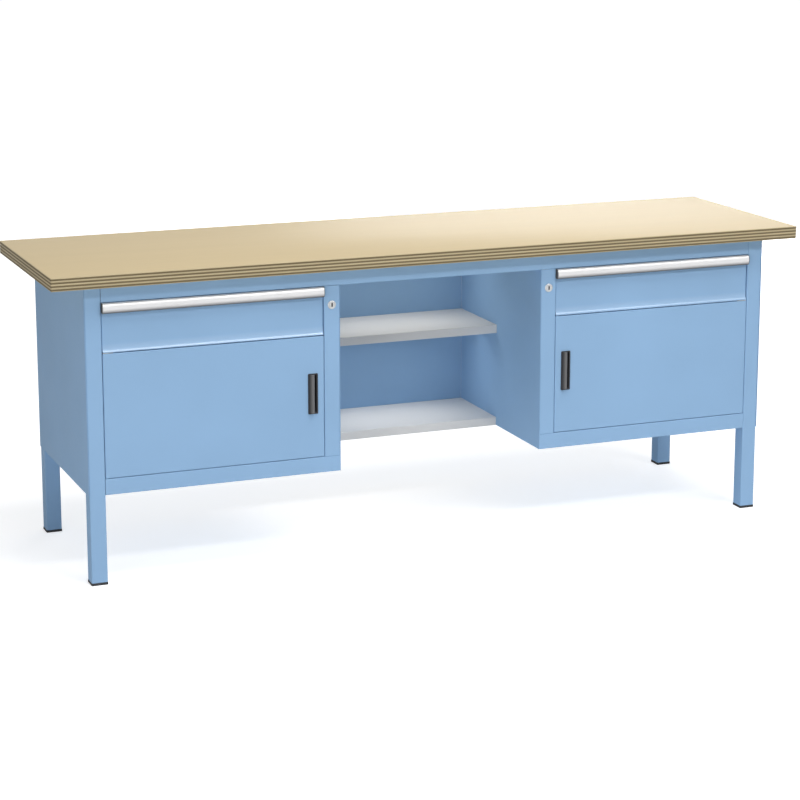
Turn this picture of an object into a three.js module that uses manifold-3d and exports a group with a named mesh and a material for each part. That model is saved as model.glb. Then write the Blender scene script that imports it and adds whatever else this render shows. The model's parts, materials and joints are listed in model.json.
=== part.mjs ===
// Workshop bench: a plywood worktop on a four-legged sheet-steel body with two pedestals.
// Each pedestal holds a drawer over a hinged door, and a lock in its inner stile. Two half-deep
// shelves fill the open bay between the pedestals.
// Millimetres. +X is to the right, +Y to the back, +Z up. The origin lies on the floor under the
// middle of the worktop.
import * as THREE from "three";
import { mergeVertices } from "three/addons/utils/BufferGeometryUtils.js";
import Module from "manifold-3d";

const wasm = await Module();
wasm.setup();

// Worktop and body
const TOP_LENGTH = 2500;
const TOP_DEPTH = 700;
const TOP_THICKNESS = 40;
const TOP_EDGE_RADIUS = 2;
const TOP_CORNER_RADIUS = 4;
const BENCH_HEIGHT = 960;
const END_OVERHANG = 105;
const FRONT_OVERHANG = 40;
const REAR_OVERHANG = 20;
const UNDER_CLEARANCE = 280;
const PEDESTAL_WIDTH = 804;

// Sheet metal
const SHEET = 1.5;
const BEND_RADIUS = 2.5;
const SEAT_GAP = 0.3;

// Legs and feet
const LEG_SIZE = 50;
const LEG_WALL = 2;
const LEG_CORNER = 4;
const FOOT_HEIGHT = 8;
const FOOT_MARGIN = 1;
const FOOT_EDGE = 1.5;
const FOOT_PLUG = 24;

// Rails and stiles of the front frame
const TOP_RAIL_HEIGHT = 50;
const TOP_RAIL_DEPTH = 40;
const BOTTOM_RAIL_HEIGHT = 50;
const BOTTOM_RAIL_DEPTH = 30;
const STILE_WIDTH = 50;
const STILE_DEPTH = 50;
const DIVIDER_SETBACK = 4;
const DIVIDER_DEPTH = 60;
const DIVIDER_LIP = 25;

// Open bay
const SHELF_DEPTH = 298;
const SHELF_LIP = 28;
const UPPER_SHELF_RISE = 345;

// Drawer and door fronts
const FRONT_GAP = 1.5;
const FRONT_DEPTH = 28;
const FRONT_LIP = 14;
const FRONT_CORNER = 3.5;
const PIVOT_GAP = 2.5;

// Drawer front, with its face set back and swept forward again at the lower edge
const DRAWER_FRONT_HEIGHT = 151.5;
const FACE_SETBACK = 6;
const COVE_HEIGHT = 26;
const COVE_FLATNESS = 0.3;

// Drawer box and its three-member slides
const DRAWER_REAR_GAP = 52;
const DRAWER_SIDE = 100;
const DRAWER_WALL = 1.5;
const DRAWER_HEM = 4;
const DRAWER_HEM_DROP = 20;
const DRAWER_LIFT = 5;
const SLIDE_HEIGHT = 45;
const SLIDE_THICKNESS = 13;
const SLIDE_WALL = 1.5;
const SLIDE_PLAY = 0.5;
const SLIDE_RISE = 40;
const SLIDE_SETBACK = 4;
const SLIDE_REAR_GAP = 30;
const SLIDE_BRACKET = 30;

// Drawer handle strip, an extruded finger pull
const STRIP_HEIGHT = 32;
const STRIP_PROJECTION = 18.5;
const STRIP_WALL = 2.4;

// Door pivots
const PIVOT_INSET = 4.5;
const PIVOT_RADIUS = 2.5;
const PIVOT_PLAY = 0.3;
const PIVOT_REACH = 8;
const PIVOT_PLATE = 1.5;
const PIVOT_PLATE_LENGTH = 28;
const PIVOT_COLLAR = 4;

// Door pull, a moulded cup with a half-round hood
const PULL_WIDTH = 32;
const PULL_HEIGHT = 128;
const PULL_FLANGE = 2.5;
const PULL_CORNER = 3;
const PULL_CUP_DEPTH = 14;
const PULL_WALL = 2;
const PULL_MARGIN = 2.5;
const PULL_HOOD = 7;
const PULL_HOOD_SHARE = 0.62;
const PULL_EDGE_DISTANCE = 37;
const PULL_DROP = 180;

// Magnetic catch
const CATCH_LENGTH = 40;
const CATCH_HEIGHT = 16;
const CATCH_DEPTH = 22;
const CATCH_INSET = 30;

// Lock with its crank and sliding bolt bar
const LOCK_DROP = 60;
const LOCK_RADIUS = 13.5;
const LOCK_PROUD = 3;
const LOCK_BARREL_RADIUS = 10;
const LOCK_BARREL_LENGTH = 15;
const LOCK_CORE_RADIUS = 7.9;
const LOCK_PLAY = 0.3;
const KEYWAY_WIDTH = 2.4;
const KEYWAY_HEIGHT = 9;
const KEYWAY_DEPTH = 6;
const CRANK = 12;
const CRANK_WIDTH = 12;
const CRANK_THICKNESS = 2.5;
const CRANK_PIN_RADIUS = 2;
const BAR_THICKNESS = 3;
const BAR_FRONT_SIDE = 10;
const BAR_BACK_SIDE = 16;
const BAR_ABOVE_LOCK = 30;
const BAR_ABOVE_RAIL = 40;
const BOLT_HEIGHT = 10;
const BOLT_PLAY = 0.5;
const BOLT_SLOT_PLAY = 1;
const DRAWER_BOLT_RISE = 20;
const DOOR_BOLT_DROP = 90;

// How finely round edges are divided
const BEND_STEPS = 3;
const ROUND_STEPS = 24;

// Levels and planes that several pieces share
const zTop = BENCH_HEIGHT - TOP_THICKNESS;
const zBase = UNDER_CLEARANCE;
const zOpenLow = zBase + BOTTOM_RAIL_HEIGHT;
const zOpenHigh = zTop - TOP_RAIL_HEIGHT;
const yFront = FRONT_OVERHANG - TOP_DEPTH / 2;
const yBack = TOP_DEPTH / 2 - REAR_OVERHANG;
const bodyHalf = TOP_LENGTH / 2 - END_OVERHANG;
const bayHalf = bodyHalf - PEDESTAL_WIDTH;

// Planes of one pedestal, measured inwards from its outer face
const legIn = SHEET + SEAT_GAP;
const legEnd = legIn + LEG_SIZE;
const stileEnd = PEDESTAL_WIDTH - SHEET - SEAT_GAP;
const stileIn = stileEnd - STILE_WIDTH;
const frontLow = legEnd + FRONT_GAP;
const frontHigh = stileIn - FRONT_GAP;
const yFrontRear = yFront + FRONT_DEPTH;
const yFace = yFront + FACE_SETBACK;

// Levels of the drawer and the door
const zDrawerTop = zOpenHigh - FRONT_GAP;
const zDrawerLow = zDrawerTop - DRAWER_FRONT_HEIGHT;
const zDoorTop = zDrawerLow - PIVOT_GAP;
const zDoorLow = zOpenLow + FRONT_GAP;
const zBoxLow = zDrawerLow + DRAWER_LIFT;
const zSlide = zBoxLow + SLIDE_RISE;
const ySlideFront = yFrontRear + SLIDE_SETBACK;
const ySlideRear = yBack - SLIDE_REAR_GAP;
const yBoxRear = yBack - DRAWER_REAR_GAP;

// Door pivot, divider and lock positions
const pivotX = frontLow + PIVOT_INSET;
const pivotY = yFront + PIVOT_INSET;
const zPlate = zDoorTop + (PIVOT_GAP - PIVOT_PLATE) / 2;
const zDivider = zPlate - SEAT_GAP;
const yDivider = yFrontRear + DIVIDER_SETBACK;
const lockX = (stileIn + stileEnd) / 2;
const lockZ = zOpenHigh - LOCK_DROP;
const yCrank = yFront + LOCK_BARREL_LENGTH + SEAT_GAP;
const yBar = yCrank + CRANK_THICKNESS + SEAT_GAP;
const drawerBoltZ = lockZ + DRAWER_BOLT_RISE;
const doorBoltZ = zDoorTop - DOOR_BOLT_DROP;

// Finishes
const finish = (color, roughness, metalness) =>
  new THREE.MeshStandardMaterial({ color, roughness, metalness });
const bluePaint = finish(0x8fb4da, 0.45, 0.1);
const greyPaint = finish(0xc4c8cb, 0.5, 0.1);
const plywood = finish(0xdac7a1, 0.6, 0);
const aluminium = finish(0xe6e7e8, 0.3, 0.9);
const blackPlastic = finish(0x2b2c2e, 0.5, 0);
const zincSteel = finish(0xb4b8bc, 0.4, 0.8);
const chrome = finish(0xdfe0e1, 0.2, 0.9);

// Extrusion frames: a section drawn as (y, z), (z, x) or (x, y) is carried along x, y or z.
const unit = (x, y, z) => new THREE.Vector3(x, y, z);
const carriedAlong = {
  x: new THREE.Matrix4().makeBasis(unit(0, 1, 0), unit(0, 0, 1), unit(1, 0, 0)),
  y: new THREE.Matrix4().makeBasis(unit(0, 0, 1), unit(1, 0, 0), unit(0, 1, 0)),
  z: new THREE.Matrix4(),
};

function extrude(section, axis, from, to, options = {}) {
  const settings = { bevelEnabled: false, curveSegments: BEND_STEPS, ...options };
  return new THREE.ExtrudeGeometry(section, { depth: to - from, ...settings })
    .translate(0, 0, from)
    .applyMatrix4(carriedAlong[axis]);
}

// An extrusion of the full outline whose two end edges are rounded.
function softExtrude(section, axis, from, to, radius) {
  return extrude(section, axis, from + radius, to - radius, {
    bevelEnabled: true,
    bevelThickness: radius,
    bevelSize: radius,
    bevelOffset: -radius,
    bevelSegments: BEND_STEPS,
  });
}

// A closed outline through corners [a, b] or [a, b, radius]; a radius rounds that corner.
function outline(corners, Kind = THREE.Shape) {
  const shape = new Kind();
  corners.forEach(([a, b, radius = 0], i) => {
    const here = new THREE.Vector2(a, b);
    const toward = (corner) =>
      new THREE.Vector2(corner[0], corner[1]).sub(here).setLength(radius).add(here);
    const start = toward(corners.at(i - 1));
    const end = toward(corners[(i + 1) % corners.length]);
    if (i === 0) shape.moveTo(start.x, start.y);
    else shape.lineTo(start.x, start.y);
    if (radius > 0) shape.quadraticCurveTo(here.x, here.y, end.x, end.y);
  });
  shape.closePath();
  return shape;
}

const rectangle = (a0, b0, a1, b1, radius = 0, Kind = THREE.Shape) =>
  outline([[a0, b0, radius], [a1, b0, radius], [a1, b1, radius], [a0, b1, radius]], Kind);

// A channel with its web from b0 to b1 at a0 and its flanges reaching to a1.
function channel(a0, b0, a1, b1, wall, bend = 0) {
  const inner = a0 + Math.sign(a1 - a0) * wall;
  return [
    [a0, b0, bend], [a1, b0], [a1, b0 + wall], [inner, b0 + wall],
    [inner, b1 - wall], [a1, b1 - wall], [a1, b1], [a0, b1, bend],
  ];
}

const swapped = (corners) => corners.map(([a, b, radius]) => [b, a, radius]);

function block([x0, y0, z0], [x1, y1, z1]) {
  return new THREE.BoxGeometry(x1 - x0, y1 - y0, z1 - z0)
    .translate((x0 + x1) / 2, (y0 + y1) / 2, (z0 + z1) / 2);
}

// Round pins and holes, upright along z or lying along y.
const uprightRod = (x, y, z0, z1, radius) =>
  new THREE.CylinderGeometry(radius, radius, z1 - z0, ROUND_STEPS)
    .rotateX(Math.PI / 2)
    .translate(x, y, (z0 + z1) / 2);
const lyingRod = (x, z, y0, y1, radius) =>
  new THREE.CylinderGeometry(radius, radius, y1 - y0, ROUND_STEPS)
    .translate(x, (y0 + y1) / 2, z);

// A body turned about an axis along y through (x, z), from a profile of [radius, y] points.
const turned = (profile, x, z) =>
  new THREE.LatheGeometry(profile.map(([r, y]) => new THREE.Vector2(r, y)), ROUND_STEPS)
    .translate(x, 0, z);

// Boolean work
function toSolid(geometry) {
  const bare = geometry.clone();
  bare.deleteAttribute("normal");
  bare.deleteAttribute("uv");
  const merged = mergeVertices(bare, 1e-4);
  return new wasm.Manifold(
    new wasm.Mesh({
      numProp: 3,
      vertProperties: new Float32Array(merged.attributes.position.array),
      triVerts: new Uint32Array(merged.index.array),
    }),
  );
}

function shaped(base, { join = [], cut = [] }) {
  let body = toSolid(base);
  for (const piece of join) body = body.add(toSolid(piece));
  for (const tool of cut) body = body.subtract(toSolid(tool));
  const mesh = body.getMesh();
  return new THREE.BufferGeometry()
    .setAttribute("position", new THREE.BufferAttribute(mesh.vertProperties, 3))
    .setIndex(new THREE.BufferAttribute(mesh.triVerts, 1));
}

function named(name, geometry, material) {
  const mesh = new THREE.Mesh(geometry, material);
  mesh.name = name;
  return mesh;
}

// Worktop: one glued plywood board with eased edges.
const worktop = named(
  "worktop",
  softExtrude(
    rectangle(-TOP_LENGTH / 2, -TOP_DEPTH / 2, TOP_LENGTH / 2, TOP_DEPTH / 2, TOP_CORNER_RADIUS),
    "z", zTop, BENCH_HEIGHT, TOP_EDGE_RADIUS,
  ),
  plywood,
);

// Leg: square tube, drawn about its own centre line.
function legGeometry() {
  const half = LEG_SIZE / 2;
  const bore = half - LEG_WALL;
  const section = rectangle(-half, -half, half, half, LEG_CORNER);
  section.holes.push(rectangle(-bore, -bore, bore, bore, LEG_CORNER - LEG_WALL, THREE.Path));
  return extrude(section, "z", FOOT_HEIGHT + SEAT_GAP, zTop - SEAT_GAP);
}

// Foot: moulded pad under the leg with a plug that fills the tube's bore.
function footGeometry() {
  const half = LEG_SIZE / 2 + FOOT_MARGIN;
  const plug = LEG_SIZE / 2 - LEG_WALL - SEAT_GAP;
  const pad = softExtrude(
    rectangle(-half, -half, half, half, LEG_CORNER), "z", 0, FOOT_HEIGHT, FOOT_EDGE,
  );
  const core = extrude(
    rectangle(-plug, -plug, plug, plug, LEG_CORNER - LEG_WALL),
    "z", FOOT_HEIGHT - FOOT_EDGE, FOOT_HEIGHT + FOOT_PLUG,
  );
  return shaped(pad, { join: [core] });
}

// Top rails: channels between the legs, open towards the middle of the bench.
function topRail(name, outerY, innerY) {
  const reach = bodyHalf - legEnd - SEAT_GAP;
  const section = outline(
    channel(outerY, zOpenHigh, innerY, zTop - SEAT_GAP, SHEET, BEND_RADIUS),
  );
  return named(name, extrude(section, "x", -reach, reach), bluePaint);
}

// Shelf: pan with its four edges folded down.
function bayShelf(name, zShelf) {
  const reach = bayHalf - SEAT_GAP;
  const yRear = yBack - SHEET - SEAT_GAP;
  const yLip = yRear - SHELF_DEPTH;
  const zLip = zShelf - SHELF_LIP;
  const section = outline([
    [yLip, zLip], [yRear, zLip], [yRear, zShelf, BEND_RADIUS], [yLip, zShelf, BEND_RADIUS],
  ]);
  const hollow = block(
    [-reach + SHEET, yLip + SHEET, zLip - SHEET],
    [reach - SHEET, yRear - SHEET, zShelf - SHEET],
  );
  return named(name, shaped(extrude(section, "x", -reach, reach), { cut: [hollow] }), greyPaint);
}

// Back sheet of the bay, between the two inner sides.
const bayBack = named(
  "bay_back_panel",
  block(
    [-bayHalf + SEAT_GAP, yBack - SHEET, zBase],
    [bayHalf - SEAT_GAP, yBack, zOpenHigh - SEAT_GAP],
  ),
  bluePaint,
);

// A folded front: a pan with rounded edges whose rim turns inwards at the back.
function frontPan(y0, z0, z1) {
  const skin = softExtrude(
    rectangle(z0, frontLow, z1, frontHigh, FRONT_CORNER), "y", y0, yFrontRear, BEND_RADIUS,
  );
  const hollow = block(
    [frontLow + SHEET, y0 + SHEET, z0 + SHEET],
    [frontHigh - SHEET, yFrontRear - SHEET, z1 - SHEET],
  );
  const window = block(
    [frontLow + FRONT_LIP, yFrontRear - 2 * SHEET, z0 + FRONT_LIP],
    [frontHigh - FRONT_LIP, yFrontRear + SHEET, z1 - FRONT_LIP],
  );
  return { skin, cuts: [hollow, window] };
}

// The slot in a front's free edge, or in the stile beside it, that a bolt enters.
const boltSlot = (x0, x1, z, play) =>
  block(
    [x0, yBar - play, z - BOLT_HEIGHT / 2 - play],
    [x1, yBar + BAR_THICKNESS + play, z + BOLT_HEIGHT / 2 + play],
  );

// Pedestal walls: outer side over the legs, inner side to the bay, back and floor.
function pedestalWalls(prefix) {
  const zRim = zTop - SEAT_GAP;
  const zUnderRail = zOpenHigh - SEAT_GAP;
  const yRail = yFront + TOP_RAIL_DEPTH + SEAT_GAP;
  const yRearRail = yBack - TOP_RAIL_DEPTH - SEAT_GAP;
  const innerOutline = outline([
    [yFront, zBase], [yBack, zBase], [yBack, zUnderRail], [yRearRail, zUnderRail],
    [yRearRail, zRim], [yRail, zRim], [yRail, zUnderRail], [yFront, zUnderRail],
  ]);
  const pastLeg = legEnd + SEAT_GAP;
  const yFloorFront = yFront + BOTTOM_RAIL_DEPTH + SEAT_GAP;
  const yFloorRear = yBack - SHEET - SEAT_GAP;
  const yPastFrontLeg = yFront + LEG_SIZE + SEAT_GAP;
  const yPastRearLeg = yBack - LEG_SIZE - SEAT_GAP;
  const floorOutline = outline([
    [pastLeg, yFloorFront], [stileEnd, yFloorFront], [stileEnd, yFloorRear],
    [pastLeg, yFloorRear], [pastLeg, yPastRearLeg], [legIn, yPastRearLeg],
    [legIn, yPastFrontLeg], [pastLeg, yPastFrontLeg],
  ]);
  return [
    named(`${prefix}_outer_side`, block([0, yFront, zBase], [SHEET, yBack, zRim]), bluePaint),
    named(
      `${prefix}_inner_side`,
      extrude(innerOutline, "x", PEDESTAL_WIDTH - SHEET, PEDESTAL_WIDTH),
      bluePaint,
    ),
    named(
      `${prefix}_back`,
      block([pastLeg, yBack - SHEET, zBase], [stileEnd, yBack, zUnderRail]),
      bluePaint,
    ),
    named(`${prefix}_floor`, extrude(floorOutline, "z", zBase, zBase + SHEET), bluePaint),
  ];
}

// Bottom rail: channel under the door, with the door's lower pivot pin on a thrust collar.
function bottomRail(prefix) {
  const section = outline(
    channel(yFront, zBase, yFront + BOTTOM_RAIL_DEPTH, zOpenLow, SHEET, BEND_RADIUS),
  );
  const zInRail = zOpenLow - SHEET / 2;
  const collar = uprightRod(pivotX, pivotY, zInRail, zDoorLow - SEAT_GAP, PIVOT_COLLAR);
  const pin = uprightRod(pivotX, pivotY, zInRail, zDoorLow + PIVOT_REACH, PIVOT_RADIUS);
  return named(
    `${prefix}_bottom_rail`,
    shaped(extrude(section, "x", legEnd + SEAT_GAP, stileEnd), { join: [collar, pin] }),
    bluePaint,
  );
}

// Lock stile: channel open to the back, bored for the lock and slotted for the bolts.
function lockStile(prefix) {
  const section = outline(
    swapped(channel(yFront, stileIn, yFront + STILE_DEPTH, stileEnd, SHEET, BEND_RADIUS)),
  );
  const bore = lyingRod(
    lockX, lockZ, yFront - SHEET, yFront + 2 * SHEET, LOCK_BARREL_RADIUS + LOCK_PLAY,
  );
  const slots = [drawerBoltZ, doorBoltZ].map((z) =>
    boltSlot(stileIn - SHEET, stileIn + 2 * SHEET, z, BOLT_PLAY),
  );
  return named(
    `${prefix}_lock_stile`,
    shaped(
      extrude(section, "z", zOpenLow + SEAT_GAP, zOpenHigh - SEAT_GAP),
      { cut: [bore, ...slots] },
    ),
    bluePaint,
  );
}

// Divider: angle between drawer and door that carries the upper pivot and the catch.
function divider(prefix) {
  const yRear = yDivider + DIVIDER_DEPTH;
  const section = outline([
    [yDivider, zDivider - SHEET], [yRear - SHEET, zDivider - SHEET],
    [yRear - SHEET, zDivider - DIVIDER_LIP], [yRear, zDivider - DIVIDER_LIP],
    [yRear, zDivider, BEND_RADIUS], [yDivider, zDivider],
  ]);
  return named(
    `${prefix}_divider`,
    extrude(section, "x", legEnd + SEAT_GAP, stileIn - SEAT_GAP),
    bluePaint,
  );
}

// Upper pivot: plate screwed on the divider, with a pin down into the door.
function upperPivot(prefix) {
  const margin = PIVOT_INSET - FRONT_GAP / 2;
  const plate = extrude(
    rectangle(
      pivotX - margin, pivotY - margin,
      pivotX + PIVOT_PLATE_LENGTH, yDivider + DIVIDER_DEPTH / 2, margin / 2,
    ),
    "z", zPlate, zPlate + PIVOT_PLATE,
  );
  const pin = uprightRod(
    pivotX, pivotY, zDoorTop - PIVOT_REACH, zPlate + PIVOT_PLATE / 2, PIVOT_RADIUS,
  );
  return named(`${prefix}_upper_pivot`, shaped(plate, { join: [pin] }), zincSteel);
}

// Magnetic catch under the divider, against the rim of the closed door.
function magnetCatch(prefix) {
  const zHigh = zDivider - SHEET - SEAT_GAP;
  const xHigh = stileIn - CATCH_INSET;
  const section = rectangle(
    zHigh - CATCH_HEIGHT, xHigh - CATCH_LENGTH, zHigh, xHigh, BEND_RADIUS,
  );
  const yFace = yFrontRear + SEAT_GAP;
  return named(
    `${prefix}_magnet_catch`, extrude(section, "y", yFace, yFace + CATCH_DEPTH), blackPlastic,
  );
}

// Slide members as channels in each other. The section is measured from the wall they hang on,
// at wallX, towards the drawer in the direction side.
function slideMember(name, wallX, side, w0, w1, half, yFrom, yTo) {
  const corners = channel(w0, -half, w1, half, SLIDE_WALL).map(([w, z]) => [
    zSlide + z,
    wallX + side * w,
  ]);
  return named(name, extrude(outline(corners), "y", yFrom, yTo), zincSteel);
}

const slideStep = SLIDE_WALL + SLIDE_PLAY;
const slideHalf = SLIDE_HEIGHT / 2;

function fixedSlide(name, wallX, side) {
  const reach = SLIDE_THICKNESS - slideStep;
  return slideMember(name, wallX, side, 0, reach, slideHalf, ySlideFront, ySlideRear);
}

function middleSlide(name, wallX, side) {
  const reach = SLIDE_THICKNESS - SLIDE_WALL;
  const half = slideHalf - slideStep;
  return slideMember(name, wallX, side, slideStep, reach, half, ySlideFront, ySlideRear);
}

function drawerSlide(name, wallX, side) {
  const depth = 2 * slideStep;
  const half = slideHalf - 2 * slideStep;
  return slideMember(name, wallX, side, SLIDE_THICKNESS, depth, half, ySlideFront, yBoxRear);
}

// The inner fixed slide stands off its side panel on a bracket at the rear.
function bracketedSlide(name, wallX, side) {
  const slide = fixedSlide(name, wallX, side);
  const half = slideHalf - slideStep;
  const yPlate = ySlideRear - SLIDE_BRACKET;
  const arm = block(
    [wallX - SLIDE_WALL / 2, yPlate, zSlide - half],
    [stileEnd, yPlate + SLIDE_WALL, zSlide + half],
  );
  const foot = block(
    [stileEnd - SLIDE_WALL, yPlate, zSlide - half],
    [stileEnd, ySlideRear, zSlide + half],
  );
  slide.geometry = shaped(slide.geometry, { join: [arm, foot] });
  return slide;
}

// Drawer: tray, folded front and handle strip, with its own slide members.
const outerWall = legEnd + SEAT_GAP;
const innerWall = stileIn - SEAT_GAP;

function drawerBox(prefix) {
  const x0 = outerWall + SLIDE_THICKNESS + SEAT_GAP;
  const x1 = innerWall - SLIDE_THICKNESS - SEAT_GAP;
  const y0 = yFrontRear + SEAT_GAP;
  const zRim = zBoxLow + DRAWER_SIDE;
  const hollow = block(
    [x0 + DRAWER_WALL, y0 + DRAWER_WALL, zBoxLow + DRAWER_WALL],
    [x1 - DRAWER_WALL, yBoxRear - DRAWER_WALL, zRim + DRAWER_WALL],
  );
  const tray = block([x0, y0, zBoxLow], [x1, yBoxRear, zRim]);
  const hem = block(
    [x0 - DRAWER_HEM, y0, zRim - DRAWER_HEM_DROP],
    [x1 + DRAWER_HEM, yBoxRear + DRAWER_HEM, zRim],
  );
  return named(
    `${prefix}_drawer_box`, shaped(tray, { join: [hem], cut: [hollow] }), greyPaint,
  );
}

// Drawer front: a pan whose face sweeps forward in a cove to a nose at the lower edge. The sheet
// follows the cove, so the space behind it is the same curve moved inwards by the sheet.
function drawerFront(prefix) {
  const { skin, cuts } = frontPan(yFace, zDrawerLow, zDrawerTop);
  const nose = 2 * SHEET;
  const zCove = zDrawerLow + COVE_HEIGHT;
  const curve = new THREE.QuadraticBezierCurve(
    new THREE.Vector2(yFace, zCove),
    new THREE.Vector2(yFace, zDrawerLow + COVE_HEIGHT * COVE_FLATNESS),
    new THREE.Vector2(yFront, zDrawerLow + nose),
  );
  const steps = 2 * BEND_STEPS;
  const along = (inset) =>
    Array.from({ length: steps + 1 }, (_, i) => {
      const { x, y } = curve.getPoint(i / steps);
      const tangent = curve.getTangent(i / steps);
      return [x - tangent.y * inset, y + tangent.x * inset];
    });
  const yOverlap = yFace + 2 * SHEET;
  const zInside = zDrawerLow + SHEET;
  const behind = along(SHEET);
  const cove = extrude(
    outline([
      [yOverlap, zCove], ...along(0), [yFront, zDrawerLow, SHEET], [yOverlap, zDrawerLow],
    ]),
    "x", frontLow + SHEET, frontHigh - SHEET,
  );
  const coveHollow = extrude(
    outline([[yOverlap, zCove], ...behind, [behind.at(-1)[0], zInside], [yOverlap, zInside]]),
    "x", frontLow + 2 * SHEET, frontHigh - 2 * SHEET,
  );
  const slot = boltSlot(frontHigh - 2 * SHEET, frontHigh + SHEET, drawerBoltZ, BOLT_SLOT_PLAY);
  return named(
    `${prefix}_drawer_front`,
    shaped(skin, { join: [cove], cut: [...cuts, coveHollow, slot] }),
    bluePaint,
  );
}

// Handle strip: back leg on the drawer front, roof, and a bowed lip to pull behind.
function handleStrip(prefix) {
  const y = yFace - SEAT_GAP;
  const z = zDrawerTop;
  const wall = STRIP_WALL;
  const lipY = y - STRIP_PROJECTION;
  const lipEnd = lipY + STRIP_PROJECTION / 5;
  const bowZ = z - STRIP_HEIGHT / 3;
  const roofY = y - STRIP_PROJECTION / 2;
  const legZ = z - STRIP_HEIGHT + wall;
  const section = new THREE.Shape();
  section.moveTo(y, z);
  section.lineTo(roofY, z);
  section.quadraticCurveTo(lipY, z, lipY, bowZ);
  section.quadraticCurveTo(lipY, z - STRIP_HEIGHT * 0.7, lipEnd, z - STRIP_HEIGHT);
  section.lineTo(lipEnd + wall, legZ);
  section.quadraticCurveTo(lipY + wall, z - STRIP_HEIGHT * 0.7, lipY + wall, bowZ);
  section.quadraticCurveTo(lipY + wall, z - wall, roofY, z - wall);
  section.lineTo(y - wall, z - wall);
  section.lineTo(y - wall, legZ);
  section.lineTo(y, legZ);
  section.closePath();
  return named(
    `${prefix}_drawer_handle`,
    extrude(section, "x", frontLow, frontHigh, { curveSegments: 2 * BEND_STEPS }),
    aluminium,
  );
}

// Door: folded front with pivot holes, a cut-out for the pull and a slot for the bolt.
const pullX = frontHigh - PULL_EDGE_DISTANCE;
const pullZ = zDoorTop - PULL_DROP;
const cupX = PULL_WIDTH / 2 - PULL_MARGIN;
const cupZ = PULL_HEIGHT / 2 - PULL_MARGIN;

function doorPanel(prefix) {
  const { skin, cuts } = frontPan(yFront, zDoorLow, zDoorTop);
  const holeRadius = PIVOT_RADIUS + PIVOT_PLAY;
  const holes = [zDoorLow, zDoorTop].map((z) =>
    uprightRod(pivotX, pivotY, z - 2 * SHEET, z + 2 * SHEET, holeRadius),
  );
  const pullHole = block(
    [pullX - cupX - SEAT_GAP, yFront - SHEET, pullZ - cupZ - SEAT_GAP],
    [pullX + cupX + SEAT_GAP, yFront + 2 * SHEET, pullZ + cupZ + SEAT_GAP],
  );
  const slot = boltSlot(frontHigh - 2 * SHEET, frontHigh + SHEET, doorBoltZ, BOLT_SLOT_PLAY);
  return named(
    `${prefix}_door_panel`,
    shaped(skin, { cut: [...cuts, ...holes, pullHole, slot] }),
    bluePaint,
  );
}

// Door pull: flange, cup behind it, and a half-round hood over part of the cup. The open part
// of the cup lies on the side open (+1 or -1) of the hood.
function doorPull(prefix, open) {
  const ySeat = yFront - SEAT_GAP;
  const yFlange = ySeat - PULL_FLANGE;
  const half = PULL_HEIGHT / 2;
  const flange = extrude(
    rectangle(
      pullZ - half, pullX - PULL_WIDTH / 2, pullZ + half, pullX + PULL_WIDTH / 2, PULL_CORNER,
    ),
    "y", yFlange, ySeat,
  );
  const cup = block(
    [pullX - cupX, ySeat - PULL_FLANGE / 2, pullZ - cupZ],
    [pullX + cupX, yFront + PULL_CUP_DEPTH, pullZ + cupZ],
  );
  const hoodHalf = (PULL_WIDTH * PULL_HOOD_SHARE) / 2;
  const hoodX = pullX - open * (PULL_WIDTH / 2 - hoodHalf - PULL_WALL / 2);
  const arch = (width, rise) =>
    new THREE.Shape().absellipse(hoodX, ySeat, width, rise, Math.PI, 2 * Math.PI);
  const hoodEnd = cupZ - PULL_WALL / 2;
  const hood = extrude(
    arch(hoodHalf, PULL_FLANGE + PULL_HOOD), "z", pullZ - hoodEnd, pullZ + hoodEnd,
    { curveSegments: 4 * BEND_STEPS },
  );
  const innerZ = cupZ - PULL_WALL;
  const hollow = block(
    [pullX - cupX + PULL_WALL, ySeat, pullZ - innerZ],
    [pullX + cupX - PULL_WALL, yFront + PULL_CUP_DEPTH - PULL_WALL, pullZ + innerZ],
  );
  const underHood = extrude(
    arch(hoodHalf - PULL_WALL, PULL_FLANGE + PULL_HOOD - PULL_WALL),
    "z", pullZ - innerZ, pullZ + innerZ, { curveSegments: 4 * BEND_STEPS },
  );
  const rimX = pullX + open * (cupX - PULL_WALL);
  const mouth = block(
    [Math.min(hoodX, rimX), yFlange - PULL_HOOD, pullZ - innerZ],
    [Math.max(hoodX, rimX), ySeat + PULL_WALL, pullZ + innerZ],
  );
  const shellOfHood = shaped(hood, { cut: [underHood] });
  return named(
    `${prefix}_door_pull`,
    shaped(shaped(flange, { join: [cup], cut: [mouth, underHood, hollow] }), {
      join: [shellOfHood],
    }),
    blackPlastic,
  );
}

// Lock: bezel and barrel, a core that turns a crank, and the bar whose bolts the crank drives.
function lockHousing(prefix) {
  const bore = LOCK_CORE_RADIUS + LOCK_PLAY;
  const yRear = yFront + LOCK_BARREL_LENGTH;
  const yFace = yFront - LOCK_PROUD;
  const ySeat = yFront - SEAT_GAP;
  const profile = [
    [bore, yFace], [LOCK_RADIUS - LOCK_PROUD / 2, yFace],
    [LOCK_RADIUS, yFace + LOCK_PROUD / 2], [LOCK_RADIUS, ySeat], [LOCK_BARREL_RADIUS, ySeat],
    [LOCK_BARREL_RADIUS, yRear], [bore, yRear], [bore, yFace],
  ];
  return named(`${prefix}_lock_housing`, turned(profile, lockX, lockZ), chrome);
}

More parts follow.
